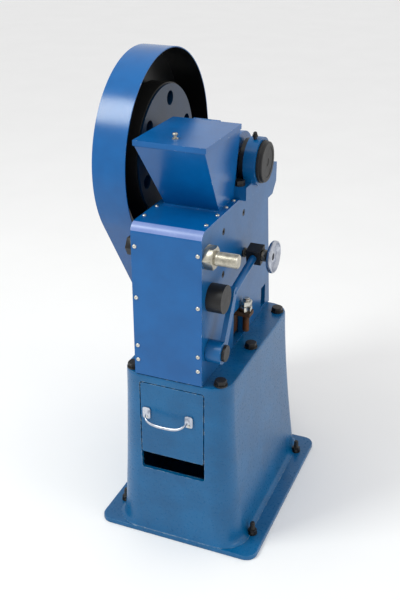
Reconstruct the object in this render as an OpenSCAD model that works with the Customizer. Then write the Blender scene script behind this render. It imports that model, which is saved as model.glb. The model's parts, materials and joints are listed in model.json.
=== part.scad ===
// Laboratory jaw crusher on a pedestal: two side plates carry an overhead eccentric shaft,
// a swing jaw, a hinged front jaw with a cam lever and a feed hopper with a hinged lid.
// A belt drives it from a motor behind the pedestal, under a teardrop belt guard, and the
// crushed sample falls into a drawer in the pedestal.
// Origin: centre of the base underside. +Z up, front face towards -Y. Millimetres.

/* [Base and pedestal] */
// width of the base plate across the machine
base_w = 400; // [380:1:420]
// depth of the base plate front to back
base_d = 518; // [500:1:540]
// thickness of the base plate
base_t = 12; // [10:1:16]
// height of the pedestal top above the floor
ped_z = 445; // [430:1:460]
// wall thickness of the pedestal shell
ped_t = 9; // [6:1:12]
// half width of the pedestal top
ped_hx = 129; // [120:1:135]

/* [Crusher case] */
// x of the middle plane of the crusher case
case_x = -9; // [-15:1:0]
// outside width over the two side plates
case_w = 158; // [150:1:164]
// thickness of each side plate
plate_t = 15; // [12:1:18]
// height of the flat top of the case
case_z = 800; // [790:1:810]

/* [Shaft and drive] */
// y of the main shaft axis
shaft_y = 40; // [30:1:50]
// z of the main shaft axis
shaft_z = 865; // [860:1:875]
// throw of the eccentric
throw = 5; // [3:0.5:6]
// outside radius of the drive wheel
wheel_r = 150; // [145:1:155]
// upper radius of the belt guard
guard_r = 231; // [225:1:235]
// width of the belt guard
guard_w = 78; // [70:1:80]

/* [Lever] */
// y of the lever hub and cam shaft
lev_y = -218; // [-222:1:-214]
// z of the lever hub and cam shaft
lev_z = 517; // [510:1:525]
// offset of the cam from its shaft
cam_e = 12; // [8:1:14]

/* [Hidden] */
$fn = 64;

blue = [0.10, 0.40, 0.68];
dark = [0.08, 0.08, 0.09];
bright = [0.78, 0.77, 0.74];
steel = [0.45, 0.44, 0.42];
hw = case_w / 2;
xr = case_x + hw;          // outer face of the right plate
xl = case_x - hw;          // outer face of the left plate
ti = case_z - 3;           // top of the side plates
tie = [-232, 741];         // y, z of the tie bolt
knee = [-151, 630];        // y, z of the lever knee
blk = [-4, 661];           // y, z of the clamp block
boss = [-209, 640];        // y, z of the stop boss
motor_at = [310, 206];      // y, z of the motor shaft
bolt_at = [for (x = [-1, 1], p = [[104, -232], [108, -48], [108, 150]]) [x * p[0], p[1]]];
scr_a = 153;               // direction of the stop screw in the y-z plane

module alongx(x0, x1) { translate([x0, 0, 0]) rotate([90, 0, 90]) linear_extrude(x1 - x0) children(); }
module rod(x0, x1, y, z, r, f = 64) { alongx(x0, x1) translate([y, z]) circle(r, $fn = f); }
module bx(x0, x1, y0, y1, z0, z1) { translate([x0, y0, z0]) cube([x1 - x0, y1 - y0, z1 - z0]); }
module pill(w, d, r, h) {
  linear_extrude(h) { square([w - 2 * r, d], center = true); square([w, d - 2 * r], center = true);
    for (i = [-1, 1], j = [-1, 1]) translate([i * (w / 2 - r), j * (d / 2 - r)]) circle(r); }
}
module hexz(r, h) { cylinder(r = r, h = h, $fn = 6); }

// ---- base and pedestal
module ring4(hx, yf, yr, r, z) {
  for (x = [-hx + r, hx - r], y = [yf + r, yr - r]) translate([x, y, z])
    cylinder(r = r, h = 0.5, $fn = 48);
}
module ped_solid(k) {
  hull() { ring4(153 - k, -257 + k, 250 - k, 60 - k, base_t + 0.05 - (k > 0 ? 1 : 0));
    ring4(142 - k, -258 + k, 238 - k, 56 - k, 70); }
  hull() { ring4(142 - k, -258 + k, 238 - k, 56 - k, 70);
    ring4(ped_hx - k, -258 + k, 196 - k, 50 - k, ped_z - 0.5 - (k > 0 ? 13 : 0)); }
}
module pedestal() color(blue) difference() {
  ped_solid(0);
  ped_solid(ped_t);
  bx(-80, 76, -270, -240, 193, 427);
  bx(case_x - 48, case_x + 48, -162, -38, 400, 460);
  for (p = bolt_at) translate([p[0], p[1], 400]) cylinder(r = 8.2, h = 60);
}
module base_plate() color(blue) difference() {
  pill(base_w, base_d, 28, base_t);
  for (x = [-168, 168], y = [-175, 184]) translate([x, y, -1]) cylinder(r = 7, h = 20);
}
module anchor_bolts() color(dark) for (x = [-168, 168], y = [-175, 184]) translate([x, y, 0]) {
  translate([0, 0, 0.5]) cylinder(r = 6, h = 44);
  difference() { translate([0, 0, base_t + 0.05]) cylinder(r = 12, h = 2.5); cylinder(r = 5.9, h = 40);
    }
  difference() { translate([0, 0, base_t + 2.55]) hexz(10.97, 10); cylinder(r = 5.9, h = 40); }
}
module frame_bolts() color(dark) for (p = bolt_at) translate([p[0], p[1], 0]) {
  translate([0, 0, ped_z + 0.05]) cylinder(r = 15.5, h = 3, $fn = 48);
  translate([0, 0, ped_z + 3.05]) hexz(13.86, 10);
  translate([0, 0, ped_z - 12.5]) cylinder(r = 8, h = 16);
}
module discharge_chute() color(steel) difference() {
  union() { bx(case_x - 45, case_x + 45, -160, -40, 417, 450);
    bx(case_x - 52, case_x + 52, -168, -32, ped_z + 0.1, 448); }
  bx(case_x - 42.5, case_x + 42.5, -157.5, -42.5, 400, 460);
}
// ---- drawer
module drawer_rails() color(steel) difference() {
  union() {
    for (x = [-79, 61]) bx(x, x + 14, -248, 46, 236.5, 240);
    for (x = [-79, 72]) bx(x, x + 3, -248, 46, 236.5, 256);
    bx(-90, 86, 42, 46, 236.5, 430.9);
  }
  bx(-60, 56, 30, 60, 262, 405);
}
module drawer_bin() color(steel) difference() {
  bx(-74, 70, -248.5, 30, 240.4, 408);
  bx(-71.5, 67.5, -246, 27.5, 243, 420);
}
module drawer_front() color(blue) bx(-77.5, 73.5, -257.5, -248.6, 240.4, 424.5);
module drawer_handle() color(bright) {
  for (x = [-72, 31]) difference() {
    bx(x, x + 19, -261.6, -257.6, 335, 364);
    translate([x + 9.5, -270, 339.7]) rotate([-90, 0, 0]) cylinder(r = 2.2, h = 20);
  }
  for (x = [-69, 34]) alongx(x, x + 13)
    polygon([[-261.6, 362], [-270, 360], [-289, 344], [-289, 334], [-283, 334], [-281, 341], [-268,
      352], [-261.6, 352]]);
  rod(-69, 47, -285, 337, 6.5, 48);
}
module handle_screws() color(bright) for (x = [-62.5, 40.5]) translate([x, -262.9, 339.7])
  rotate([-90, 0, 0])
  { cylinder(r = 3.6, h = 1.2, $fn = 32); cylinder(r = 2, h = 4.5, $fn = 32); }

// ---- side plates and covers
module plate2d(right) difference() {
  union() {
    translate([-254.8, ped_z + 0.3]) square([200, 779 - ped_z]);
    translate([-236.8, 700]) square([200, ti - 700]);
    translate([-236.8, 779]) circle(17.8);
    polygon([[-60, ped_z + 0.3], [199, ped_z + 0.3], [162, 737], [195, 737], [221, 763], [221, 810],
      [170, 810], [162, ti], [-60, ti]]);
  }
  translate(tie) circle(15.1);
  translate([lev_y, lev_z]) circle(18.3);
  if (right) { translate([-64, 447]) square([73, 85]); }
  translate([131, 455]) square([32, 55]);
  for (y = [-136, -12], z = [661, 760]) translate([y, z]) circle(5.1, $fn = 48);
}
module side_plate_right() color(blue) difference() {
  alongx(xr - plate_t, xr) plate2d(true);
  for (y = [-136, -12], z = [661, 760]) rod(xr - 6, xr + 1, y, z, 8);
  for (z = [483, 518, 633, 750]) translate([xr - 8.5, -260, z]) rotate([-90, 0, 0])
    cylinder(r = 2.6, h = 10.5);
  for (y = [-212, -150, -99, -53]) translate([xr - 9, y, 780]) cylinder(r = 2.6, h = 30);
  for (y = [-24, 104]) translate([62.5, y, 760]) cylinder(r = 6.2, h = 50);
}
module side_plate_left() color(blue) difference() {
  alongx(xl, xl + plate_t) plate2d(false);
  for (y = [-136, -12], z = [661, 760]) rod(xl - 1, xl + 6, y, z, 8);
  for (z = [483, 518, 633, 750]) translate([xl + 8.5, -260, z]) rotate([-90, 0, 0])
    cylinder(r = 2.6, h = 10.5);
  for (y = [-208, -147, -95]) translate([xl + 9, y, 780]) cylinder(r = 2.6, h = 30);
  for (y = [-24, 104]) translate([-80.5, y, 760]) cylinder(r = 6.2, h = 50);
}
module front_cover() color(blue) difference() {
  alongx(xl, xr) difference() {
    union() {
      translate([-258, ped_z + 2]) square([3, 779 - ped_z - 2]);
      translate([-237, ti]) square([198, 3]);
      difference() { translate([-237, 779]) circle(21); translate([-237, 779]) circle(18);
        translate([-237, 700]) square(200); translate([-300, 679]) square([200, 100]); }
    }
  }
  bx(case_x - 54, case_x + 54, -123, -48, 790, 810);
  for (x = [xl + 8.5, xr - 8.5], z = [483, 518, 633, 750])
    translate([x, -262, z]) rotate([-90, 0, 0]) cylinder(r = 2.7, h = 12);
  for (p = [[xr - 9, -212], [xr - 9, -150], [xr - 9, -99], [xr - 9, -53], [xl + 9, -208], [xl + 9,
    -147], [xl + 9, -95]])
    translate([p[0], p[1], 790]) cylinder(r = 2.7, h = 20);
}
module front_screws() color(bright) for (x = [xl + 8.5, xr - 8.5], z = [483, 518, 633, 750])
  translate([x, -261, z]) rotate([-90, 0, 0]) { cylinder(r = 4.6, h = 2.9, $fn = 32);
    cylinder(r = 2.4, h = 9.5, $fn = 32); }
module top_screws() color(bright)
  for (p = [[xr - 9, -212], [xr - 9, -150], [xr - 9, -99], [xr - 9, -53], [xl + 9, -208], [xl + 9,
    -147], [xl + 9, -95]])
    translate([p[0], p[1], 785]) { cylinder(r = 2.4, h = 17, $fn = 32); translate([0, 0, 15.1])
      cylinder(r = 4.6, h = 3, $fn = 32); }
module rear_covers() color(blue) {
  alongx(xl + 1, xr - 1)
    polygon([[199.5, ped_z + 0.5], [202.5, ped_z + 0.5], [165.6, 736.5], [162.6, 736.5]]);
  bx(xl + 1, xr - 1, 122, 160, ti + 0.1, case_z);
}
module head_hood() color(blue) difference() {
  alongx(case_x - 54, case_x + 54) union() {
    translate([-36, ti + 0.1]) square([154, 60]);
    translate([41, 850]) circle(77); 
  }
  alongx(case_x - 52, case_x + 52) union() {
    translate([-34, ti - 5]) square([150, 60]);
    translate([41, 850]) circle(75);
  }
  bx(-100, 100, -60, 150, 700, ti + 0.05);
  rod(-100, 100, shaft_y, shaft_z, 30);
}
// ---- hopper
module frus(k) hull() {
  translate([-7 - 75.5 + k, -237 + k, 955]) cube([151 - 2 * k, 196 - 2 * k, k > 0 ? 5 : 1]);
  translate([-7 - 62 + k, -126 + k, case_z + 0.1 - (k > 0 ? 1 : 0)])
    cube([124 - 2 * k, 87.6 - 2 * k, 1]);
}
module hopper() color(blue) difference() {
  union() { frus(0); bx(-71, 56, -132, -38.4, case_z + 0.05, case_z + 3); }
  frus(2.5);
  bx(case_x - 54, case_x + 54, -123, -48, 790, 804);
}
module hinge_fixed_leaf() color(blue) difference() {
  union() {
    bx(case_x - 30, case_x + 30, -40.5, -38.6, 938, 966);
    rod(case_x - 10, case_x + 10, -36, 964, 4.5, 48);
    bx(case_x - 10, case_x + 10, -40.5, -36, 961, 964);
    rod(case_x - 29, case_x + 29, -36, 964, 2, 32);
  }
  for (s = [-1, 1]) bx(case_x + s * 20.5 - 10.2, case_x + s * 20.5 + 10.2, -42, -38.5, 958.5, 970);
}
module hopper_lid() color(blue) difference() {
  union() {
    bx(-85.5, 71.5, -240, -42, 957, 968);
    for (s = [-1, 1]) {
      rod(case_x + s * 20.5 - 9.5, case_x + s * 20.5 + 9.5, -36, 964, 4.5, 48);
      bx(case_x + s * 20.5 - 9.5, case_x + s * 20.5 + 9.5, -43, -36, 965, 968);
    }
  }
  bx(-83.5, 69.5, -238, -30, 950, 965.5 - 0.6);
  rod(-100, 100, -36, 964, 2.08, 32);
  for (s = [-1, 1]) translate([0, 0, 0])
    rod(case_x + s * 31 - 1, case_x + s * 31 + 1, -36, 964, 2.2, 32);
}
module lid_knob() color(bright) translate([-11, -199, 968.05]) { cylinder(r = 6.5, h = 2, $fn = 48);
  cylinder(r = 3.2, h = 8, $fn = 32);
  translate([0, 0, 6.5]) cylinder(r = 5.6, h = 5.5, $fn = 48); }

// ---- tie bolt, cheeks and rear beam
module tie_bolt() color(bright) { rod(-106, 140, tie[0], tie[1], 15); }
module tie_nuts() color(bright) difference() {
  union() { rod(xr + 0.1, xr + 21, tie[0], tie[1], 26, 6);
    rod(xl - 16, xl - 0.1, tie[0], tie[1], 21.9, 6); }
  rod(-150, 150, tie[0], tie[1], 15.05);
}
module cheek(x0) difference() {
  bx(x0, x0 + 10, -150, 0, 640, 790);
  for (y = [-136, -12], z = [661, 760]) rod(x0 - 1, x0 + 11, y, z, 4.9);
}
module cheek_plates() color(steel) { cheek(xr - plate_t - 10.1); cheek(xl + plate_t + 0.1); }
module cheek_screws() color(dark) for (y = [-136, -12], z = [661, 760]) {
  difference() { rod(xr - 5.9, xr - 0.3, y, z, 7.6); rod(xr - 3.5, xr, y, z, 3.4, 6); }
  rod(xr - 22, xr - 5.9, y, z, 4.8);
  difference() { rod(xl + 0.3, xl + 5.9, y, z, 7.6); rod(xl, xl + 3.5, y, z, 3.4, 6); }
  rod(xl + 5.9, xl + 22, y, z, 4.8);
}
module rear_beam() color(steel) difference() {
  union() { bx(xl + plate_t + 0.1, xr - plate_t - 0.1, 104, 146, 560, 625);
    bx(case_x - 30, case_x + 30, 110, 122, 500, 560.1); }
  rod(-200, 200, 104, 592, 7.6);
  translate([case_x, 100, 525]) rotate([-90, 0, 0]) cylinder(r = 15, h = 40);
}
module toggle_plate() color(steel) alongx(case_x - 45, case_x + 45) {
  translate([104, 592]) circle(7.5);
  translate([-28, 566]) circle(7.5);
  polygon([[-27, 561], [105, 587], [103, 597], [-29, 571]]);
}
// ---- bearings
module housing(x0, x1, f0, f1) difference() {
  union() {
    rod(x0, x1, shaft_y, shaft_z, 54);
    bx(f0, f1, shaft_y - 78, shaft_y + 78, ti + 0.05, 827);
    bx(max(x0, f0), min(x1, f1), shaft_y - 46, shaft_y + 46, 820, 845);
  }
  rod(x0 - 1, x1 + 1, shaft_y, shaft_z, 45);
  rod(f0 - 1, x0 - 0.01, shaft_y, shaft_z, 49.2);
  rod(x1 + 0.01, f1 + 1, shaft_y, shaft_z, 49.2);
  for (y = [-24, 104]) translate([f0 > 0 ? 62.5 : -80.5, y, 780]) cylinder(r = 6.6, h = 60);
}
module housing_right() color(blue) housing(65.5, 92.5, 48, 84);
module housing_left() color(blue) housing(-110.5, -83.5, -102, -66);
module capring(x0, x1, r, b) difference() { rod(x0, x1, shaft_y, shaft_z, r);
  rod(x0 - 1, x1 + 1, shaft_y, shaft_z, b); }
module inner_caps() color(dark) { capring(53, 65.4, 48.5, 27); capring(-83.4, -71, 48.5, 27); }
module outer_caps() color(dark) {
  difference() { rod(92.6, 106, shaft_y, shaft_z, 47.5, 96); rod(90, 101, shaft_y, shaft_z, 30); }
  capring(-124, -110.6, 47.5, 27);
}
module bearings() color(bright) { capring(67, 91, 44.95, 25.06); capring(-109, -85, 44.95, 25.06); }
module housing_bolts() color(dark) for (x = [62.5, -80.5], y = [-24, 104]) translate([x, y, 0]) {
  translate([0, 0, 765]) cylinder(r = 6, h = 64);
  translate([0, 0, 827.05]) cylinder(r = 13, h = 2.5);
  translate([0, 0, 829.5]) hexz(12.7, 9);
}
module grease_nipples() color(dark) for (x = [79, -97]) translate([x, shaft_y - 14, shaft_z + 53.3]) {
  cylinder(r = 4, h = 8, $fn = 32); translate([0, 0, 4.5]) hexz(6.4, 5); translate([0, 0, 12])
    sphere(4.6); }
// ---- shaft and flywheel
module eccentric_shaft() color(bright) {
  rod(-126, 98, shaft_y, shaft_z, 25);
  rod(-190, -126, shaft_y, shaft_z, 24);
  rod(-202, -190, shaft_y, shaft_z, 19);
  rod(case_x - 50, case_x + 50, shaft_y, shaft_z + throw, 32);
}
module drive_wheel() color(blue) difference() {
  rod(-187, -137, shaft_y, shaft_z, wheel_r, 128);
  difference() { rod(-185, -141, shaft_y, shaft_z, wheel_r + 1, 128);
    rod(-186, -140, shaft_y, shaft_z, 144, 128); }
  difference() { rod(-188, -153, shaft_y, shaft_z, 128, 96); rod(-189, -150, shaft_y, shaft_z, 48); }
  rod(-138, -125, shaft_y, shaft_z, 40.5);
  rod(-220, -120, shaft_y, shaft_z, 24.06);
  for (i = [0:5]) rod(-220, -120, shaft_y + 118 * sin(i * 60 + 9), shaft_z + 118 * cos(i * 60 + 9),
    16.5);
}
module wheel_nut() color(bright) difference() {
  union() { rod(-192.5, -190.05, shaft_y, shaft_z, 34); rod(-201.5, -192.5, shaft_y, shaft_z, 30, 6); }
  rod(-210, -180, shaft_y, shaft_z, 19.05);
}
// ---- belt drive: two circles and the quadrilateral between their tangent points
module drop2d(r1, r2) {
  c1 = [shaft_y, shaft_z];
  d = motor_at - c1;
  a = atan2(d[1], d[0]);
  b = acos((r1 - r2) / norm(d));
  translate(c1) circle(r1, $fn = 128);
  translate(motor_at) circle(r2);
  polygon([for (p = [[c1, r1, b + 8], [c1, r1, b], [motor_at, r2, b], [motor_at, r2, b - 8],
      [motor_at, r2, 8 - b], [motor_at, r2, -b], [c1, r1, -b], [c1, r1, -b - 8]])
    p[0] + (p[1] - 0.05) * [cos(a + p[2]), sin(a + p[2])]]);
}
module belt_guard() color(blue) {
  difference() {
    alongx(-130 - guard_w, -130) drop2d(guard_r, 95);
    alongx(-127 - guard_w, -120) drop2d(guard_r - 2.5, 92.5);
    bx(-147, -110, -300, 262, 0, 462);
  }
  for (p = [[-110, 733], [140, 692]]) rod(-206, xl - 0.1, p[0], p[1], 8);
}
module drive_belt() color(dark) alongx(-184.5, -141.5) difference() {
  hull() { translate([shaft_y, shaft_z]) circle(153, $fn = 128); translate(motor_at) circle(49); }
  hull() { translate([shaft_y, shaft_z]) circle(144.6, $fn = 128); translate(motor_at) circle(40.6); }
}
module motor_pulley() color(steel) {
  difference() {
    rod(-187, -139, motor_at[0], motor_at[1], 46);
    difference() { rod(-185, -141, motor_at[0], motor_at[1], 60);
      rod(-186, -140, motor_at[0], motor_at[1], 40); }
  }
  rod(-140, -110.5, motor_at[0], motor_at[1], 9.5);
}
module motor() color(blue) {
  rod(-110, 36, motor_at[0], motor_at[1], 66, 96);
  rod(36, 58, motor_at[0], motor_at[1], 63, 96);
  for (y = [-1, 1]) bx(-85, 15, motor_at[0] + y * 42 - 18, motor_at[0] + y * 42 + 18, 132.1, 156);
  bx(-70, 0, motor_at[0] - 34, motor_at[0] + 34, 255, 296);
}
module motor_bracket() color(blue) {
  bx(-100, 30, 233.8, 388, 122, 132);
  for (x = [-100, 22]) alongx(x, x + 8) polygon([[238, 123], [238, 80], [246, 80], [340, 123]]);
  alongx(-100, 30) polygon([[237.7, 76], [247.7, 76], [228.2, 250], [218.2, 250]]);
}
// ---- swing jaw
module swing_jaw() color(steel) difference() {
  union() {
    rod(case_x - 48, case_x + 48, shaft_y, shaft_z + throw, 46);
    alongx(case_x - 48, case_x + 48) polygon([[-5, 862], [85, 862], [72, 800], [28, 770], [-16, 784]]);
    alongx(case_x - 52, case_x + 52) polygon([[-16.7, 780], [-88.7, 554.5], [-46, 541], [-19, 548],
      [-6, 588], [28, 766], [30, 780]]);
  }
  rod(-200, 200, shaft_y, shaft_z + throw, 40);
  rod(-200, 200, -28, 571, 15);
  bx(case_x - 60, case_x + 60, -28, 30, 553, 592);
}
module jaw_bush() color(bright) difference() {
  rod(case_x - 47, case_x + 47, shaft_y, shaft_z + throw, 39.95);
    rod(-200, 200, shaft_y, shaft_z + throw, 32.06); }
module moving_jaw_plate() color(bright) alongx(case_x - 52, case_x + 52) difference() {
  polygon([[-34, 785], [-106, 560], [-89, 554.6], [-17, 779.6]]);
  for (i = [0:10]) translate([-37.2 - 6.4 * i, 775 - 20 * i]) rotate(17.7) translate([-4.2, 0])
    circle(5, $fn = 32);
}
module tension_rod() color(steel) {
  translate([case_x, -52, 530]) rotate([-90, 0, 0]) cylinder(r = 6, h = 232, $fn = 48);
  bx(case_x - 12, case_x + 12, -70, -46, 520, 540.6);
  translate([case_x, 163, 530]) rotate([-90, 0, 0]) cylinder(r = 18, h = 4);
  translate([case_x, 167, 530]) rotate([-90, 0, 0]) hexz(11, 9);
}
module tension_spring() color(steel) translate([case_x, 122.2, 525]) rotate([-90, 0, 0])
  difference() { cylinder(r = 17, h = 34); translate([0, 0, -1]) cylinder(r = 12.5, h = 40); }
// ---- front jaw
module front_jaw() color(steel) difference() {
  union() {
    rod(case_x - 62, case_x + 62, tie[0], tie[1], 20);
    alongx(case_x - 52, case_x + 52)
      polygon([[-232, 722], [-224, 758], [-160, 778], [-142.2, 778], [-142.2, 552],
      [-160, 505], [-193.6, 505], [-193.6, 553], [-165, 580], [-165, 700]]);
  }
  rod(-200, 200, tie[0], tie[1], 15.06);
}
module fixed_jaw_plate() color(bright) alongx(case_x - 52, case_x + 52) difference() {
  translate([-142, 556]) square([18, 229]);
  for (i = [0:10]) translate([-120.2, 772 - 20 * i]) circle(5, $fn = 32);
}
// ---- cam shaft and lever
module cam_shaft() color(steel) {
  rod(-96, 112, lev_y, lev_z, 18.24);
  rod(case_x - 52, case_x + 52, lev_y, lev_z + cam_e, 24);
  rod(-96, xl - 1, lev_y, lev_z, 23);
}
module lever() color(blue) difference() {
  union() {
    rod(xr + 1, 105, lev_y, lev_z, 25);
    alongx(94, 105) { polygon([[lev_y - 8, lev_z + 5], [lev_y + 16, lev_z - 6], [knee[0] + 9,
      knee[1] - 6], [knee[0] - 7, knee[1] + 5]]);
      translate(knee) circle(9.5); }
    rod(74.5, 105, knee[0], knee[1], 12.5);
    translate([98, knee[0], knee[1]]) rotate([atan2(blk[1] - knee[1], blk[0] - knee[0]) - 90, 0, 0])
      cylinder(r = 8.5, h = norm(blk - knee) - 17.8);
  }
  rod(0, 200, lev_y, lev_z, 18.3);
  translate([84, knee[0], knee[1]]) rotate([scr_a - 90, 0, 0]) translate([0, 0, -30])
    cylinder(r = 7.6, h = 60);
}
module lever_block() color(dark) difference() {
  translate([98, blk[0], blk[1]]) rotate([12, 0, 0]) cube([34, 35, 35], center = true);
  rod(0, 200, blk[0], blk[1], 8.06);
}
module stop_spring() color(bright) translate([84, knee[0], knee[1]]) rotate([scr_a - 90, 0, 0])
  difference() { translate([0, 0, 13]) cylinder(r = 9.8, h = 24); cylinder(r = 7.4, h = 60); }
module clamp_spindle() color(steel) { rod(xr + 0.6, 134, blk[0], blk[1], 8);
  difference() { rod(115.4, 126, blk[0], blk[1], 13.86, 6); rod(0, 200, blk[0], blk[1], 7.9); }
  rod(xr + 0.6, xr + 5, blk[0], blk[1], 11, 48); }
module handwheel() color(bright) difference() {
  union() {
    translate([130, blk[0], blk[1]]) rotate([0, 90, 0]) rotate_extrude($fn = 96)
      polygon([[8.05, 0], [20, 0], [34, 3], [37.5, 7], [37.5, 15], [35, 17], [32, 15], [30, 8], [18,
        5], [14, 5], [14, 10], [8.05, 10]]);
  }
}
module stop_boss() color(dark) difference() {
  rod(xr + 0.1, 105, boss[0], boss[1], 31);
  translate([84, knee[0], knee[1]]) rotate([scr_a - 90, 0, 0]) { translate([0, 0, 20])
    cylinder(r = 12.5, h = 28);
    translate([0, 0, 20]) cylinder(r = 4.05, h = 40); }
}
module stop_screw() color(bright) translate([84, knee[0], knee[1]]) rotate([scr_a - 90, 0, 0]) {
  translate([0, 0, -30]) cylinder(r = 4, h = 89.5, $fn = 48);
  difference() { union() { translate([0, 0, -21.5]) hexz(7.5, 6.5); translate([0, 0, -15])
    cylinder(r = 8, h = 2); }
    translate([0, 0, -25]) cylinder(r = 3.9, h = 20); }
}
module screw_bracket() color(steel) difference() {
  union() { bx(xr - plate_t - 8.1, xr - plate_t - 0.1, -50, 4, 455, 585);
    bx(xr - plate_t - 2, 98, -34, -6, 512, 522); }
  translate([84.5, -20, 500]) cylinder(r = 8.05, h = 40);
}
module gate_screw() color(bright) translate([84.5, -20, 0]) {
  translate([0, 0, 470]) cylinder(r = 8, h = 86, $fn = 48);
  difference() { union() { translate([0, 0, 522.1]) hexz(13.86, 12.9); translate([0, 0, 536])
    hexz(13.86, 13); }
    translate([0, 0, 500]) cylinder(r = 7.9, h = 80); }
}

base_plate();
anchor_bolts();
pedestal();
frame_bolts();
discharge_chute();
drawer_rails();
drawer_bin();
drawer_front();
drawer_handle();
handle_screws();
side_plate_right();
side_plate_left();
front_cover();
front_screws();
top_screws();
rear_covers();
head_hood();
hopper();
hinge_fixed_leaf();
hopper_lid();
lid_knob();
tie_bolt();
tie_nuts();
cheek_plates();
cheek_screws();
rear_beam();
toggle_plate();
housing_right();
housing_left();
inner_caps();
outer_caps();
bearings();
housing_bolts();
grease_nipples();
eccentric_shaft();
drive_wheel();
wheel_nut();
belt_guard();
drive_belt();
motor_pulley();
motor();
motor_bracket();
swing_jaw();
jaw_bush();
moving_jaw_plate();
tension_rod();
tension_spring();
front_jaw();
fixed_jaw_plate();
cam_shaft();
lever();
lever_block();
stop_spring();
clamp_spindle();
handwheel();
stop_boss();
stop_screw();
screw_bracket();
gate_screw();
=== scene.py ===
import json
import math

import bpy
from mathutils import Matrix, Vector


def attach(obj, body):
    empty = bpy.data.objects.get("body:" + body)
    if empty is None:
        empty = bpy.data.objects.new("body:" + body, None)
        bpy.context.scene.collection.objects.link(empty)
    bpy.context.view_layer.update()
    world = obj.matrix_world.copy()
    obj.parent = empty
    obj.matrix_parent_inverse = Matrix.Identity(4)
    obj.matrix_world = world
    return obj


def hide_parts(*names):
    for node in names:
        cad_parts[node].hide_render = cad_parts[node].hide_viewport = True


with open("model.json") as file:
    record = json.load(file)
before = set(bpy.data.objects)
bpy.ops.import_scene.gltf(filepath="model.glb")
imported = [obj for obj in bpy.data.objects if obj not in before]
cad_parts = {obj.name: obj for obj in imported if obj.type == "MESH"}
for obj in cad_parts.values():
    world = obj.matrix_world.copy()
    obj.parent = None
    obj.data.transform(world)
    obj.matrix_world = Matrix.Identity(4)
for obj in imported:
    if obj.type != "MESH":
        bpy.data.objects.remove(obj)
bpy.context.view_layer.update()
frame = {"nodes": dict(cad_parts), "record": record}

MM = 0.001
NODES = frame["nodes"]
RECORD = frame["record"]
BODY_OF = {n: b for b, ns in RECORD["behaviour"]["bodies"].items() for n in ns}

# Main places of the machine, in millimetres
CASE_X = -9.0
CASE_LEFT, CASE_RIGHT = -88.0, 70.0
SHAFT = (40.0, 865.0)
TIE = (-232.0, 741.0)
KNEE = (-151.0, 630.0)
CLAMP = (-4.0, 661.0)
STOP_ANGLE = math.radians(153)
STOP_X = 84.0
MOTOR = (310.0, 206.0)
GATE_SCREW = (84.5, -20.0)
HOUSING_BOLT_X = (62.5, -80.5)
HOUSING_BOLT_Y = (-24, 104)
PEDESTAL_TOP = 445.0


# ---------------------------------------------------------------- colours and materials
def colour(text):
    """An sRGB hex value as linear red, green, blue and alpha."""
    parts = [int(text[i : i + 2], 16) / 255 for i in (1, 3, 5)]
    return [p / 12.92 if p <= 0.04045 else ((p + 0.055) / 1.055) ** 2.4 for p in parts] + [1.0]


BLACK, WHITE = (0, 0, 0, 1), (1, 1, 1, 1)


def add(tree, kind, settings=None, links=None):
    """One node. A setting is a property, an input by name or number, or a ramp's stops; hex text is a
    colour. A link is an input and the (node, output) that feeds it."""
    made = tree.nodes.new(kind)
    for key, value in (settings or {}).items():
        if isinstance(value, str) and value.startswith("#"):
            value = colour(value)
        if key == "stops":
            for stop, (position, tone) in zip(made.color_ramp.elements, value):
                stop.position = position
                stop.color = tone
        elif isinstance(key, int) or key in made.inputs:
            made.inputs[key].default_value = value
        else:
            setattr(made, key, value)
    for key, (source, out) in (links or {}).items():
        tree.links.new(source.outputs[out], made.inputs[key])
    return made


def new_finish(name):
    finish = bpy.data.materials.new(name)
    finish.use_nodes = True
    tree = finish.node_tree
    tree.nodes.clear()
    return finish, tree, {"Vector": (add(tree, "ShaderNodeTexCoord"), "Object")}


def edge_mask(tree, width, low, high):
    """White where the surface bends within width of a corner."""
    bend = add(tree, "ShaderNodeBevel", {"samples": 4, "Radius": width})
    plain = add(tree, "ShaderNodeNewGeometry")
    dot = add(
        tree, "ShaderNodeVectorMath", {"operation": "DOT_PRODUCT"},
        {0: (bend, "Normal"), 1: (plain, "Normal")},
    )
    return add(tree, "ShaderNodeValToRGB", {"stops": [(low, WHITE), (high, BLACK)]}, {"Fac": (dot, "Value")})


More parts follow.
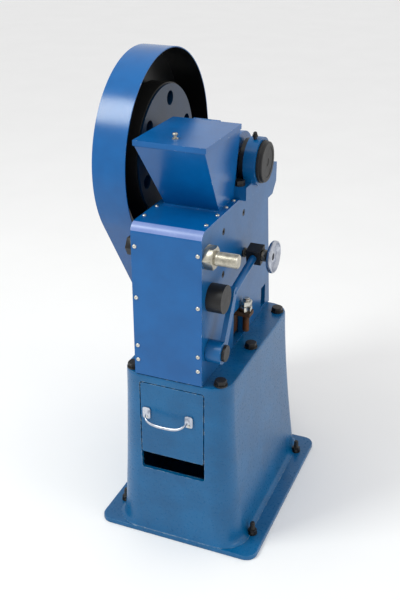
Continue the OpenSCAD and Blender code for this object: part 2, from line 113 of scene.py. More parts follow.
def enamel(name, body, deep, light, wear=0.5, gloss=(0.22, 0.42)):
    """Machine enamel on cast iron and plate: a hard gloss film with a slight orange peel, cloudy with old
    oil, chipped to pale primer along the edges."""
    finish, tree, here = new_finish(name)
    # Clouds of 90 mm for uneven film and hand oil, 7 mm for small stains, 2.5 mm for orange peel
    cloud = add(tree, "ShaderNodeTexNoise", {"Scale": 11.0, "Detail": 5.0, "Roughness": 0.6}, here)
    stain = add(tree, "ShaderNodeTexNoise", {"Scale": 140.0, "Detail": 4.0, "Roughness": 0.65}, here)
    peel = add(tree, "ShaderNodeTexNoise", {"Scale": 400.0, "Detail": 2.0, "Roughness": 0.5}, here)
    clouds = add(
        tree, "ShaderNodeValToRGB", {"stops": [(0.36, BLACK), (0.66, WHITE)]}, {"Fac": (cloud, "Fac")}
    )
    base = add(tree, "ShaderNodeMix", {"data_type": "RGBA", 6: deep, 7: body}, {0: (clouds, "Color")})
    fleck = add(
        tree, "ShaderNodeValToRGB", {"stops": [(0.58, BLACK), (0.74, WHITE)]}, {"Fac": (stain, "Fac")}
    )
    some = add(tree, "ShaderNodeMix", {"data_type": "RGBA", 0: 0.22, 6: BLACK}, {7: (fleck, "Color")})
    base = add(tree, "ShaderNodeMix", {"data_type": "RGBA", 7: light}, {0: (some, 2), 6: (base, 2)})
    # Chips: within 1.6 mm of an edge, where a 10 mm noise is high
    worn = edge_mask(tree, 0.0016, 0.80, 0.985)
    patch = add(tree, "ShaderNodeTexNoise", {"Scale": 95.0, "Detail": 6.0, "Roughness": 0.7}, here)
    patches = add(
        tree, "ShaderNodeValToRGB", {"stops": [(0.62 - 0.12 * wear, BLACK), (0.66 - 0.1 * wear, WHITE)]},
        {"Fac": (patch, "Fac")},
    )
    chips = add(
        tree, "ShaderNodeMix", {"data_type": "RGBA", "blend_type": "MULTIPLY", 0: 1.0},
        {6: (worn, "Color"), 7: (patches, "Color")},
    )
    base = add(tree, "ShaderNodeMix", {"data_type": "RGBA", 7: "#B4C8D0"}, {0: (chips, 2), 6: (base, 2)})
    rough = add(
        tree, "ShaderNodeMapRange", {"To Min": gloss[0], "To Max": gloss[1]}, {"Value": (stain, "Fac")}
    )
    bump = add(tree, "ShaderNodeBump", {"Strength": 0.10, "Distance": 0.0004}, {"Height": (peel, "Fac")})
    shader = add(
        tree, "ShaderNodeBsdfPrincipled", {"IOR": 1.45, "Metallic": 0.0},
        {"Base Color": (base, 2), "Roughness": (rough, "Result"), "Normal": (bump, "Normal")},
    )
    add(tree, "ShaderNodeOutputMaterial", links={"Surface": (shader, "BSDF")})
    return finish


def black_oxide(name, base, brown, rust=0.3, metallic=0.1):
    """Hot-blacked steel: a thin dark oxide, satin with oil, brown where it starts to rust. With no metal
    under it the same dull mottling is that of belt rubber."""
    finish, tree, here = new_finish(name)
    # Rust blooms of 8 mm, tool marks of 1.2 mm
    bloom = add(tree, "ShaderNodeTexNoise", {"Scale": 120.0, "Detail": 6.0, "Roughness": 0.7}, here)
    grain = add(tree, "ShaderNodeTexNoise", {"Scale": 850.0, "Detail": 3.0}, here)
    blooms = add(
        tree, "ShaderNodeValToRGB", {"stops": [(0.62 - 0.2 * rust, BLACK), (0.80 - 0.15 * rust, WHITE)]},
        {"Fac": (bloom, "Fac")},
    )
    tone = add(tree, "ShaderNodeMix", {"data_type": "RGBA", 6: base, 7: brown}, {0: (blooms, "Color")})
    worn = edge_mask(tree, 0.0008, 0.82, 0.99)
    part = add(tree, "ShaderNodeMix", {"data_type": "RGBA", 0: 0.25, 6: BLACK}, {7: (worn, "Color")})
    tone = add(tree, "ShaderNodeMix", {"data_type": "RGBA", 7: "#8A857C"}, {0: (part, 2), 6: (tone, 2)})
    rough = add(tree, "ShaderNodeMapRange", {"To Min": 0.32, "To Max": 0.62}, {"Value": (bloom, "Fac")})
    bump = add(tree, "ShaderNodeBump", {"Strength": 0.25, "Distance": 0.0002}, {"Height": (grain, "Fac")})
    shader = add(
        tree, "ShaderNodeBsdfPrincipled", {"Metallic": metallic},
        {"Base Color": (tone, 2), "Roughness": (rough, "Result"), "Normal": (bump, "Normal")},
    )
    add(tree, "ShaderNodeOutputMaterial", links={"Surface": (shader, "BSDF")})
    return finish


def turned_steel(name, bright, dull, low=0.22, high=0.45, rust=None):
    """Turned or ground steel: bare metal with fine tool marks, duller where hands and oil have dried."""
    finish, tree, here = new_finish(name)
    # Marks drawn 0.7 mm apart, coarser than real ones so that they show; stains of 12 mm
    squash = add(tree, "ShaderNodeMapping", {"Scale": (1500.0, 50.0, 50.0)}, here)
    lines = add(tree, "ShaderNodeTexNoise", {"Scale": 1.0, "Detail": 2.0}, {"Vector": (squash, "Vector")})
    stain = add(tree, "ShaderNodeTexNoise", {"Scale": 85.0, "Detail": 6.0, "Roughness": 0.65}, here)
    stains = add(
        tree, "ShaderNodeValToRGB", {"stops": [(0.42, BLACK), (0.72, WHITE)]}, {"Fac": (stain, "Fac")}
    )
    tone = add(tree, "ShaderNodeMix", {"data_type": "RGBA", 6: bright, 7: dull}, {0: (stains, "Color")})
    tint = add(tree, "ShaderNodeMix", {"data_type": "RGBA", 0: 0.25, 6: WHITE}, {7: (lines, "Fac")})
    tone = add(
        tree, "ShaderNodeMix", {"data_type": "RGBA", "blend_type": "MULTIPLY", 0: 1.0},
        {6: (tone, 2), 7: (tint, 2)},
    )
    if rust:
        # Rust patches of 17 mm
        spots = add(tree, "ShaderNodeTexNoise", {"Scale": 60.0, "Detail": 8.0, "Roughness": 0.72}, here)
        where = add(
            tree, "ShaderNodeValToRGB", {"stops": [(0.46, BLACK), (0.62, WHITE)]}, {"Fac": (spots, "Fac")}
        )
        tone = add(tree, "ShaderNodeMix", {"data_type": "RGBA", 7: rust}, {0: (where, "Color"), 6: (tone, 2)})
    rough = add(tree, "ShaderNodeMapRange", {"To Min": low, "To Max": high}, {"Value": (stain, "Fac")})
    bump = add(tree, "ShaderNodeBump", {"Strength": 0.12, "Distance": 0.0001}, {"Height": (lines, "Fac")})
    shader = add(
        tree, "ShaderNodeBsdfPrincipled", {"Metallic": 0.7 if rust else 1.0},
        {"Base Color": (tone, 2), "Roughness": (rough, "Result"), "Normal": (bump, "Normal")},
    )
    add(tree, "ShaderNodeOutputMaterial", links={"Surface": (shader, "BSDF")})
    return finish


BLUE = enamel("blue_machine_enamel", "#005A94", "#005086", "#0C6C9C", wear=0.5)
BLUE_WORN = enamel("blue_enamel_worn", "#005E92", "#005282", "#1C769E", wear=1.1, gloss=(0.2, 0.38))
BLUE_SMOOTH = enamel("blue_cover_enamel", "#005C9E", "#005290", "#0664A2", wear=0.25, gloss=(0.16, 0.3))
# Pale lavender enamel for the cover's upper bend: a painted reflection of the bright light above, not the
# paint's own colour.
PAINTED_BEND_REFLECTION = enamel("bend_strip_painted_reflection", "#8093C8", "#6F85BC", "#AAB8DC", wear=0.6)
DARK_BLUE = enamel("oiled_dark_blue", "#022B4C", "#01223C", "#0C4066", wear=0.2)
# Guard inside: dark primer, darkened to near black as painted shade in the guard's hollow.
GUARD_PRIMER_AND_SHADE = enamel("guard_primer_painted_shade", "#08090A", "#050606", "#121618", wear=0.1)
BLACKED = black_oxide("blacked_steel", "#0C0C0D", "#1E1713", rust=0.2)
BLACKED_BROWN = black_oxide("blacked_steel_brown", "#0D0C0D", "#2A1D16", rust=0.35)
BRIGHT = turned_steel("turned_bright_steel", "#D2CDBE", "#9C988A")
ZINC = turned_steel("zinc_plated_steel", "#E4E2DA", "#BEBBB0", 0.25, 0.4)
SATIN = turned_steel("satin_chrome", "#D4D8E2", "#AEB4C2", 0.24, 0.36)
PLAIN = turned_steel("machined_steel", "#8C8880", "#5C5850", 0.38, 0.6)
RUSTY = turned_steel("rusty_mild_steel", "#5A4A3C", "#443427", 0.5, 0.75, rust="#6A3A1C")
JAW = turned_steel("manganese_jaw_steel", "#7A766E", "#4E4A44", 0.4, 0.65, rust="#5B4030")
CAST = black_oxide("dark_hub_iron", "#121214", "#2C221C", rust=0.4)
RUBBER = black_oxide("belt_rubber", "#141414", "#24211F", rust=0.2, metallic=0.0)


# ---------------------------------------------------------------- modelling by operators
def lone(piece=None):
    """Object mode with nothing selected, or only this piece selected and active."""
    if bpy.context.object and bpy.context.object.mode != "OBJECT":
        bpy.ops.object.mode_set(mode="OBJECT")
    bpy.ops.object.select_all(action="DESELECT")
    if piece:
        piece.select_set(True)
        bpy.context.view_layer.objects.active = piece


def settle(piece):
    lone(piece)
    bpy.ops.object.transform_apply(location=True, rotation=True, scale=True)
    return piece


def modify(piece, kind, **settings):
    """Adds a modifier and applies it."""
    lone(piece)
    made = piece.modifiers.new(kind.lower(), kind)
    for key, value in settings.items():
        setattr(made, key, value)
    bpy.ops.object.modifier_apply(modifier=made.name)
    return piece


def pick_faces(piece, wanted):
    """Selects the faces whose centre and normal pass, then enters edit mode."""
    lone(piece)
    for group in (piece.data.vertices, piece.data.edges, piece.data.polygons):
        for part in group:
            part.select = False
    for face in piece.data.polygons:
        face.select = wanted(face.center / MM, face.normal)
    bpy.context.tool_settings.mesh_select_mode = (False, False, True)
    bpy.ops.object.mode_set(mode="EDIT")


def pick_edges(piece, wanted):
    """Selects the edges whose middle and direction pass, then enters edit mode."""
    lone(piece)
    mesh = piece.data
    for group in (mesh.vertices, mesh.edges, mesh.polygons):
        for part in group:
            part.select = False
    for edge in mesh.edges:
        a, b = (mesh.vertices[i].co for i in edge.vertices)
        edge.select = wanted((a + b) / 2 / MM, (b - a).normalized())
    bpy.context.tool_settings.mesh_select_mode = (False, True, False)
    bpy.ops.object.mode_set(mode="EDIT")


def outward(piece):
    lone(piece)
    bpy.ops.object.mode_set(mode="EDIT")
    bpy.ops.mesh.select_all(action="SELECT")
    bpy.ops.mesh.normals_make_consistent(inside=False)
    bpy.ops.object.mode_set(mode="OBJECT")
    return piece


def cube(x0, x1, y0, y1, z0, z1):
    lone()
    bpy.ops.mesh.primitive_cube_add(size=1, location=((x0 + x1) / 2 * MM, (y0 + y1) / 2 * MM,
        (z0 + z1) / 2 * MM))
    piece = bpy.context.object
    piece.scale = ((x1 - x0) * MM, (y1 - y0) * MM, (z1 - z0) * MM)
    return settle(piece)


def round_bar(x0, x1, y, z, r, sides=64):
    """A cylinder along X."""
    lone()
    bpy.ops.mesh.primitive_cylinder_add(
        vertices=sides, radius=r * MM, depth=(x1 - x0) * MM, location=((x0 + x1) / 2 * MM, y * MM, z * MM),
        rotation=(0, math.pi / 2, 0),
    )
    return settle(bpy.context.object)


def turned(points, steps=64, closed=True):
    """Turns an outline of (along, radius) points about the X axis, as on a lathe."""
    lone()
    bpy.ops.mesh.primitive_plane_add(size=0.001)
    piece = bpy.context.object
    bpy.ops.object.mode_set(mode="EDIT")
    bpy.ops.mesh.select_mode(type="VERT")
    bpy.ops.mesh.select_all(action="SELECT")
    bpy.ops.mesh.merge(type="CENTER")
    here = Vector((points[0][0] * MM, 0, points[0][1] * MM))
    bpy.ops.transform.translate(value=here)
    route = list(points[1:]) + ([points[0]] if closed else [])
    for along, radius in route:
        there = Vector((along * MM, 0, radius * MM))
        bpy.ops.mesh.extrude_region_move(TRANSFORM_OT_translate={"value": there - here})
        here = there
    bpy.ops.mesh.select_all(action="SELECT")
    bpy.ops.mesh.remove_doubles(threshold=1e-6)
    bpy.ops.mesh.select_all(action="SELECT")
    bpy.ops.mesh.spin(steps=steps, angle=2 * math.pi, center=(0, 0, 0), axis=(1, 0, 0))
    bpy.ops.mesh.select_all(action="SELECT")
    bpy.ops.mesh.remove_doubles(threshold=2e-6)
    bpy.ops.mesh.select_all(action="SELECT")
    bpy.ops.mesh.normals_make_consistent(inside=False)
    bpy.ops.object.mode_set(mode="OBJECT")
    return piece


def put(piece, x=0, y=0, z=0, turn=None):
    """Turns a piece made along X, then moves it, in millimetres."""
    if turn is not None:
        piece.matrix_world = turn.to_4x4()
        settle(piece)
    piece.location = (x * MM, y * MM, z * MM)
    return settle(piece)


def cut(piece, tool, how="DIFFERENCE"):
    lone(piece)
    made = piece.modifiers.new("cut", "BOOLEAN")
    made.operation = how
    made.solver = "EXACT"
    made.object = tool
    bpy.ops.object.modifier_apply(modifier=made.name)
    bpy.data.objects.remove(tool)
    return piece


def softened(piece, width=0.8, segments=2, limit=32, smooth=35):
    """Breaks the sharp edges by width millimetres and smooths the shading."""
    if width:
        modify(
            piece, "BEVEL", width=width * MM, segments=segments, limit_method="ANGLE",
            angle_limit=math.radians(limit), use_clamp_overlap=True, miter_outer="MITER_ARC",
        )
    lone(piece)
    bpy.ops.object.shade_smooth_by_angle(angle=math.radians(smooth))
    if width:
        modify(piece, "WEIGHTED_NORMAL", keep_sharp=True, weight=50)
    return piece


def joined(pieces):
    lone()
    for piece in pieces:
        piece.select_set(True)
    bpy.context.view_layer.objects.active = pieces[0]
    if len(pieces) > 1:
        bpy.ops.object.join()
    return settle(bpy.context.object)


def twin(piece):
    copy = piece.copy()
    copy.data = piece.data.copy()
    bpy.context.scene.collection.objects.link(copy)
    return copy


def place(piece, name, finish, *nodes, body=None):
    """Names the piece, gives it its finish, and lets it stand for its CAD nodes."""
    piece.name = name
    piece.data.name = name
    if finish is not None:
        piece.data.materials.clear()
        piece.data.materials.append(finish)
    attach(piece, body or BODY_OF[nodes[0]])
    if nodes:
        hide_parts(*nodes)
    return piece


def copied(node):
    """A merged working copy of a CAD node, ready for edge breaking."""
    source = NODES[node]
    piece = bpy.data.objects.new(node + "_copy", source.data.copy())
    bpy.context.scene.collection.objects.link(piece)
    piece.matrix_world = Matrix.Identity(4)
    lone(piece)
    if piece.data.has_custom_normals:
        bpy.ops.mesh.customdata_custom_splitnormals_clear()
    bpy.ops.object.mode_set(mode="EDIT")
    bpy.ops.mesh.select_all(action="SELECT")
    bpy.ops.mesh.remove_doubles(threshold=2e-6)
    bpy.ops.mesh.dissolve_limited(angle_limit=math.radians(0.4))
    bpy.ops.object.mode_set(mode="OBJECT")
    return piece


def dressed(node, name, finish, width=0.8, segments=2, limit=32):
    """A CAD node with broken edges and a finish."""
    return place(softened(copied(node), width, segments, limit), name, finish, node)


# ---------------------------------------------------------------- turned and threaded stock
ALONG_Z = Matrix.Rotation(-math.pi / 2, 3, "Y")   # X to +Z
ALONG_Y = Matrix.Rotation(math.pi / 2, 3, "Z")    # X to +Y
ALONG_SCREW = Matrix.Rotation(STOP_ANGLE, 3, "X") @ Matrix.Rotation(math.pi / 2, 3, "Z")


def thread(x0, x1, r, pitch, sides=24):
    """A screw thread along X with its core, chamfered at the far end."""
    deep = 0.61 * pitch * 0.9
    lone()
    bpy.ops.mesh.primitive_plane_add(size=0.001)
    piece = bpy.context.object
    bpy.ops.object.mode_set(mode="EDIT")
    bpy.ops.mesh.select_mode(type="VERT")
    bpy.ops.mesh.select_all(action="SELECT")
    bpy.ops.mesh.merge(type="CENTER")
    outline = [(x0, r - deep), (x0 + 0.42 * pitch, r - 0.05), (x0 + 0.56 * pitch, r - 0.05), (x0 + pitch,
        r - deep)]
    here = Vector((outline[0][0] * MM, 0, outline[0][1] * MM))
    bpy.ops.transform.translate(value=here)
    for along, radius in outline[1:]:
        there = Vector((along * MM, 0, radius * MM))
        bpy.ops.mesh.extrude_region_move(TRANSFORM_OT_translate={"value": there - here})
        here = there
    bpy.ops.object.mode_set(mode="OBJECT")
    turns = max(1, int((x1 - x0) / pitch) - 1)
    modify(
        piece, "SCREW", axis="X", angle=2 * math.pi, screw_offset=pitch * MM, iterations=turns,
        steps=sides, render_steps=sides, use_merge_vertices=True, merge_threshold=2e-6,
    )
    outward(piece)
    core = turned([(x0, 0), (x0, r - deep * 0.7), (x1 - 1.2, r - deep * 0.7), (x1, r - deep * 1.6), (x1,
        0)], sides, closed=False)
    return joined([piece, core])


def hex_part(across, height, chamfer=True, both=False):
    """A hexagon along X from 0 to height, its far corners turned down at 30 degrees."""
    r = across / math.sqrt(3)
    lone()
    bpy.ops.mesh.primitive_cylinder_add(
        vertices=6, radius=r * MM, depth=height * MM, location=(height / 2 * MM, 0, 0), rotation=(0,
            math.pi / 2, 0)
    )
    piece = settle(bpy.context.object)
    if chamfer:
        low = (r - across / 2) * 0.75
        first = [(-0.1, 0), (0, across / 2 - 0.2), (low, r + 0.6)] if both else [(-1, 0), (-1, r + 0.6)]
        shape = first + [(height - low, r + 0.6), (height, across / 2 - 0.2), (height + 0.1, 0)]
        cut(piece, turned(shape, 48, closed=False), "INTERSECT")
    return softened(piece, 0.25, 1, 25)


def hex_bolt(across, head, washer=None):
    """Washer and hexagon head along X, standing on 0."""
    pieces, base = [], 0
    if washer:
        r, base = washer
        pieces.append(softened(turned([(0, 0), (0, r), (base, r), (base, 0)], 48, closed=False), 0.4))
    pieces.append(put(hex_part(across, head), x=base))
    crown = turned([(base + head - 0.3, 0), (base + head - 0.3, across * 0.34), (base + head + 0.1,
        across * 0.3), (base + head + 0.1, 0)], 32, closed=False)
    return joined(pieces + [crown])


def coil(x0, x1, r, wire, turns, sides=28):
    """A helical spring along X with flat ground ends."""
    lone()
    bpy.ops.mesh.primitive_circle_add(vertices=10, radius=wire * MM, location=(0, 0, 0),
        rotation=(math.pi / 2, 0, 0))
    piece = settle(bpy.context.object)
    piece.location = (0, 0, r * MM)
    settle(piece)
    pitch = (x1 - x0 - 2 * wire) / turns
    modify(
        piece, "SCREW", axis="X", angle=2 * math.pi * turns, screw_offset=pitch * turns * MM, iterations=1,
        steps=int(sides * turns), render_steps=int(sides * turns), use_merge_vertices=False,
    )
    lone(piece)
    bpy.ops.object.mode_set(mode="EDIT")
    bpy.ops.mesh.select_mode(type="EDGE")
    bpy.ops.mesh.select_all(action="DESELECT")
    bpy.ops.mesh.select_non_manifold()
    bpy.ops.mesh.edge_face_add()
    bpy.ops.object.mode_set(mode="OBJECT")
    outward(piece)
    put(piece, x=x0 + wire)
    return softened(piece, 0, smooth=60)


def copies(model, spots):
    """The model at each place, as one piece."""
    made = []
    for x, y, z in spots:
        each = twin(model)
        put(each, x, y, z)
        made.append(each)
    bpy.data.objects.remove(model)
    return joined(made)


# ---------------------------------------------------------------- base and pedestal
def corner_outline(half, front, rear, radius, steps=12):
    """A rounded rectangle's points, from the middle of the right side round."""
    points = []
    for cx, cy, start in (
        (half - radius, rear - radius, 0), (-half + radius, rear - radius, 90),
        (-half + radius, front + radius, 180), (half - radius, front + radius, 270),
    ):
        for i in range(steps):
            a = math.radians(start + 90 * i / (steps - 1))
            points.append((cx + radius * math.cos(a), cy + radius * math.sin(a)))
    return points


def lofted(rings):
    """Draws up a cylinder's wall ring by ring: each ring is (z, half width, front, rear, corner radius)."""
    lone()
    count = len(corner_outline(1, -1, 1, 0.5))
    bpy.ops.mesh.primitive_circle_add(vertices=count, radius=0.1, fill_type="NOTHING")
    piece = bpy.context.object
    for n, (z, half, front, rear, radius) in enumerate(rings):
        if n:
            bpy.ops.object.mode_set(mode="EDIT")
            bpy.ops.mesh.extrude_edges_move(TRANSFORM_OT_translate={"value": (0, 0, 0.001)})
            bpy.ops.object.mode_set(mode="OBJECT")
        else:
            bpy.ops.object.mode_set(mode="EDIT")
            bpy.ops.mesh.select_all(action="SELECT")
            bpy.ops.object.mode_set(mode="OBJECT")
        ring = piece.data.vertices[n * count : (n + 1) * count]
        for vertex, (x, y) in zip(ring, corner_outline(half, front, rear, radius)):
            vertex.co = (x * MM, y * MM, z * MM)
    return piece


def pedestal_rings(inset=0.0):
    """The casting's outline from foot fillet to top: sides sweep in with a slight hollow."""
    rings = []
    for z, out in ((12.6, 14), (14, 9.5), (18, 4.8), (25, 1.8), (36, 0.3)):
        rings.append((z, 152 + out - inset, -251.5 - out * 0.45 + inset, 249 + out * 0.5 - inset,
            58 + out * 0.5 - inset * 0.6))
    for step in range(1, 15):
        t = step / 14
        z = 36 + (437 - 36) * t
        ease = 1 - (1 - t) ** 1.55
        rings.append((
            z, 152 - 23.4 * ease - inset, -251.5 - 5.9 * min(1, t * 1.6) + inset,
            249 - 53.2 * (0.55 * t + 0.45 * ease) - inset, 58 - 8 * ease - inset * 0.6,
        ))
    half, front, rear, radius = rings[-1][1:]
    for z, back in ((441, 0.4), (443.6, 1.6), (444.9, 4.2)):
        rings.append((z, half - back, front + back, rear - back, radius - back))
    return rings


def make_pedestal():
    shell = lofted(pedestal_rings())
    lone(shell)
    bpy.ops.object.mode_set(mode="EDIT")
    bpy.ops.mesh.edge_face_add()
    bpy.ops.object.mode_set(mode="OBJECT")
    outward(shell)
    modify(shell, "SOLIDIFY", thickness=9 * MM, offset=-1, use_even_offset=True)
    hole = cube(-80, 76, -275, -240, 193, 427)
    pick_edges(hole, lambda c, d: abs(d.y) > 0.9)
    bpy.ops.mesh.bevel(offset=7 * MM, segments=5)
    lone(hole)
    cut(shell, hole)
    cut(shell, cube(CASE_X - 48, CASE_X + 48, -162, -38, 400, 460))
    return place(softened(shell, 1.6, 3, 38), "pedestal_casting", BLUE_WORN, "pedestal")


def make_base():
    slab = lofted([(0.2, 199.4, -258.4, 258.4, 27.5), (1, 200, -259, 259, 28), (9.2, 200, -259, 259, 28),
                   (11.2, 199, -258, 258, 27), (11.95, 196.8, -255.8, 255.8, 25)])
    lone(slab)
    bpy.ops.object.mode_set(mode="EDIT")
    bpy.ops.mesh.edge_face_add()
    bpy.ops.mesh.select_all(action="DESELECT")
    bpy.ops.mesh.select_non_manifold()
    bpy.ops.mesh.edge_face_add()
    bpy.ops.object.mode_set(mode="OBJECT")
    outward(slab)
    for x in (-168, 168):
        for y in (-175, 184):
            lone()
            bpy.ops.mesh.primitive_cylinder_add(vertices=40, radius=7 * MM, depth=0.06, location=(x * MM,
                y * MM, 0.006))
            cut(slab, settle(bpy.context.object))
    return place(softened(slab, 0.6, 2, 40), "base_flange", BLUE_WORN, "base_plate")


def make_anchors():
    washer = softened(turned([(12.05, 6.3), (12.05, 12), (14.5, 12), (14.5, 6.3)], 48), 0.3)
    nut = put(hex_part(19, 10.0, both=True), x=14.6)
    stud = joined([round_bar(0.6, 20, 0, 0, 5.6, 32), thread(20, 44.4, 6, 1.75, 24)])
    model = put(joined([washer, nut, stud]), turn=ALONG_Z)
    spots = [(x, y, 0) for x in (-168, 168) for y in (-175, 184)]
    return place(copies(model, spots), "anchor_studs_and_nuts", BLACKED, "anchor_bolts")


def make_flange_bolts():
    model = put(hex_bolt(24, 10, (15.5, 3)), turn=ALONG_Z)
    spots = [(sx * x, y, PEDESTAL_TOP + 0.05) for sx in (-1, 1) for x, y in ((104, -232), (108, -48),
        (108, 150))]
    return place(copies(model, spots), "flange_bolts", BLACKED_BROWN, "frame_bolts")


make_pedestal()
make_base()
make_anchors()
make_flange_bolts()


# ---------------------------------------------------------------- drawer
def make_drawer_panel():
    panel = cube(-77.5, 73.5, -257.5, -248.6, 240.4, 424.5)
    pick_faces(panel, lambda c, n: n.y < -0.9)
    bpy.ops.mesh.inset(thickness=1.4 * MM)
    bpy.ops.transform.translate(value=(0, 0, 0))
    lone(panel)
    pick_edges(panel, lambda c, d: abs(d.y) > 0.9)
    bpy.ops.mesh.bevel(offset=4 * MM, segments=4)
    lone(panel)
    return place(softened(panel, 1.0, 3, 38), "drawer_panel", BLUE_WORN, "drawer_front")


def make_bow_handle():
    """A round bow that droops between two screwed feet, drawn out from a short bar at its middle."""
    bar = cube(-15, -7, -288.2, -281, 333, 340.5)
    for side in (-1, 1):
        for out, back, rise in ((9, 0, 0.2), (10, 0.3, 0.8), (9, 0.8, 1.9), (8, 1.8, 3.0), (6, 3.6, 3.4),
            (3, 6, 2.4), (1.5, 6.5, 0.6)):
            lone(bar)
            for group in (bar.data.vertices, bar.data.edges):
                for part in group:
                    part.select = False
            bpy.context.tool_settings.mesh_select_mode = (False, False, True)
            far = max(range(len(bar.data.polygons)), key=lambda i,
                s=side: s * bar.data.polygons[i].center.x + bar.data.polygons[i].center.y)
            for face in bar.data.polygons:
                face.select = face.index == far
            bpy.ops.object.mode_set(mode="EDIT")
            bpy.ops.mesh.extrude_region_move(TRANSFORM_OT_translate={"value": (side * out * MM, back * MM,
                rise * MM)})
            lone(bar)
    modify(bar, "SUBSURF", levels=2)
    feet = []
    for x in (-72, 31):
        foot = cube(x, x + 19, -261.6, -257.65, 335, 364)
        pick_edges(foot, lambda c, d: abs(d.y) > 0.9)
        bpy.ops.mesh.bevel(offset=5 * MM, segments=5)
        lone(foot)
        feet.append(softened(foot, 0.7, 2))
    return place(softened(joined([bar] + feet), 0, smooth=50), "bow_handle", SATIN, "drawer_handle")


make_drawer_panel()
make_bow_handle()


# ---------------------------------------------------------------- the rest in order
def make_cover_screws():
    """Button heads with a hexagon socket."""
    head = turned([(0, 0), (0, 4.6), (0.8, 4.6), (1.9, 3.9), (2.6, 2.6), (2.8, 0)], 32, closed=False)
    lone()
    bpy.ops.mesh.primitive_cylinder_add(vertices=6, radius=1.8 * MM, depth=3 * MM, location=(2.8 * MM, 0,
        0), rotation=(0, math.pi / 2, 0))
    cut(head, settle(bpy.context.object))
    softened(head, 0.15, 1)
    front = put(twin(head), turn=Matrix.Rotation(-math.pi / 2, 3, "Z"))
    xs = (CASE_LEFT + 8.5, CASE_RIGHT - 8.5)
    place(copies(front, [(x, -258.1, z) for x in xs for z in (483, 518, 633, 750)]), "front_cover_screws",
        ZINC, "front_screws")
    top = put(head, turn=ALONG_Z)
    spots = [(CASE_RIGHT - 9, y, 800.1) for y in (-212, -150, -99, -53)] + [(CASE_LEFT + 9, y,
        800.1) for y in (-208, -147, -95)]
    place(copies(top, spots), "top_cover_screws", ZINC, "top_screws")


make_cover_screws()

def threaded(x0, x1, r, pitch, *nuts):
    """A stud along X, threaded all its length, with nuts given as (start, across flats, height)."""
    return joined([thread(x0, x1, r, pitch, 32)] + [put(hex_part(a, h, both=True), x=at) for at, a,
        h in nuts])


def make_tie_bolt():
    bar = softened(turned([(-106, 0), (-106, 13.4), (-104.4, 15), (96, 15), (97, 14), (97, 0)], 64,
        closed=False), 0)
    end = thread(97, 139.9, 14.9, 2.0, 48)
    place(put(joined([bar, end]), y=TIE[0], z=TIE[1]), "tie_bolt_threaded", BRIGHT, "tie_bolt")
    nuts = joined([put(hex_part(45, 20.8), x=CASE_RIGHT + 0.12), put(hex_part(37.9, 15.8), x=-15.95 - 88)])
    cut(nuts, round_bar(-150, 150, 0, 0, 15.05))
    nuts = place(put(nuts, y=TIE[0], z=TIE[1]), "tie_bolt_nuts", BRIGHT, "tie_nuts")
    paint_where(nuts, BLACKED, lambda c, n: c.x < 0)


def make_clamp():
    spindle = threaded(75, 133.9, 8, 2.0, (115.4, 24, 10.5))
    collar = turned([(70.7, 0), (70.7, 10.6), (71.1, 11), (74.6, 11), (75, 10.6), (75, 0)], 48,
        closed=False)
    place(put(joined([spindle, collar]), y=CLAMP[0], z=CLAMP[1]), "clamp_spindle_threaded", PLAIN,
        "clamp_spindle")
    # Dished wheel with a rolled rim, a thin web and a long hub
    outline = [(0.2, 8.2), (0.2, 19.5), (1.6, 24), (3.4, 33.4), (6.2, 36.6), (9, 37.4), (12.6, 37.4),
        (15.6, 36.4), (16.8, 34.6),
               (15.8, 33.2), (12.6, 32.4), (8.6, 30.4), (5.6, 22), (5.0, 14.6), (5.6, 13.4), (9.2,
                   13), (9.9, 12.2), (9.9, 8.2)]
    wheel = put(turned([(130 + a, r) for a, r in outline], 96), y=CLAMP[0], z=CLAMP[1])
    place(softened(wheel, 0, smooth=28), "dished_handwheel", SATIN, "handwheel")


def make_stop():
    screw = threaded(-29.9, 12, 4, 1.25, (-21.5, 13, 6.5))
    shank = turned([(11, 0), (11, 3.9), (59, 3.9), (59.5, 3.2), (59.5, 0)], 32, closed=False)
    washer = softened(turned([(-15, 0), (-15, 8), (-13.1, 8), (-13.1, 0)], 48, closed=False), 0.3)
    at = {"x": STOP_X, "y": KNEE[0], "z": KNEE[1]}
    place(put(put(joined([screw, shank, washer]), turn=ALONG_SCREW), **at), "stop_screw_threaded", BRIGHT,
        "stop_screw")
    spring = put(put(coil(13.05, 36.9, 8.6, 1.1, 6), turn=ALONG_SCREW), **at)
    place(spring, "stop_spring_coil", BRIGHT, "stop_spring")
    spring = put(put(coil(0, 34, 14.7, 2.15, 5), turn=ALONG_Y), CASE_X, 122.2, 525)
    place(spring, "tension_spring_coil", BLACKED, "tension_spring")


def make_gate_screw():
    stud = put(threaded(470, 555.9, 8, 2.0, (522.1, 24, 12.9), (536, 24, 13)), turn=ALONG_Z)
    stud = place(put(stud, *GATE_SCREW), "gate_screw_and_nuts", ZINC, "gate_screw")
    paint_where(stud, RUSTY, lambda c, n: c.z < 521)


def make_caps():
    outline = [(92.7, 0), (92.7, 46.6), (93.4, 47.4), (98.2, 47.4), (98.8, 46), (101.4, 45.6), (104.6,
        45), (105.9, 43.2),
               (105.9, 35.6), (104.6, 34.4), (104.4, 10), (103.2, 8.6), (103.2, 0)]
    right = turned(outline, 96, closed=False)
    cut(right, round_bar(90, 101, 0, 0, 30))
    left = turned([(-123.9, 27), (-123.9, 43), (-122.4, 45), (-117, 46.4), (-115.4, 47.4), (-110.7, 47.4),
        (-110.7, 27)], 96)
    screws = []
    for i in range(4):
        a = math.radians(45 + 90 * i)
        for x, way in ((105.2, 1), (-123.2, -1)):
            head = softened(turned([(0, 0), (0, 4), (1.6 if x < 0 else 0.6, 3.8), (1.7 if x < 0 else 0.7,
                0)], 24, closed=False), 0)
            turn = Matrix.Rotation(0 if way > 0 else math.pi, 3, "Z")
            screws.append(put(put(head, turn=turn), x if way > 0 else -122.2, 39.6 * math.cos(a),
                39.6 * math.sin(a)))
    caps = put(joined([softened(right, 0, smooth=30), softened(left, 0, smooth=30)] + screws), y=SHAFT[0],
        z=SHAFT[1])
    place(caps, "outer_bearing_caps", BLACKED, "outer_caps")


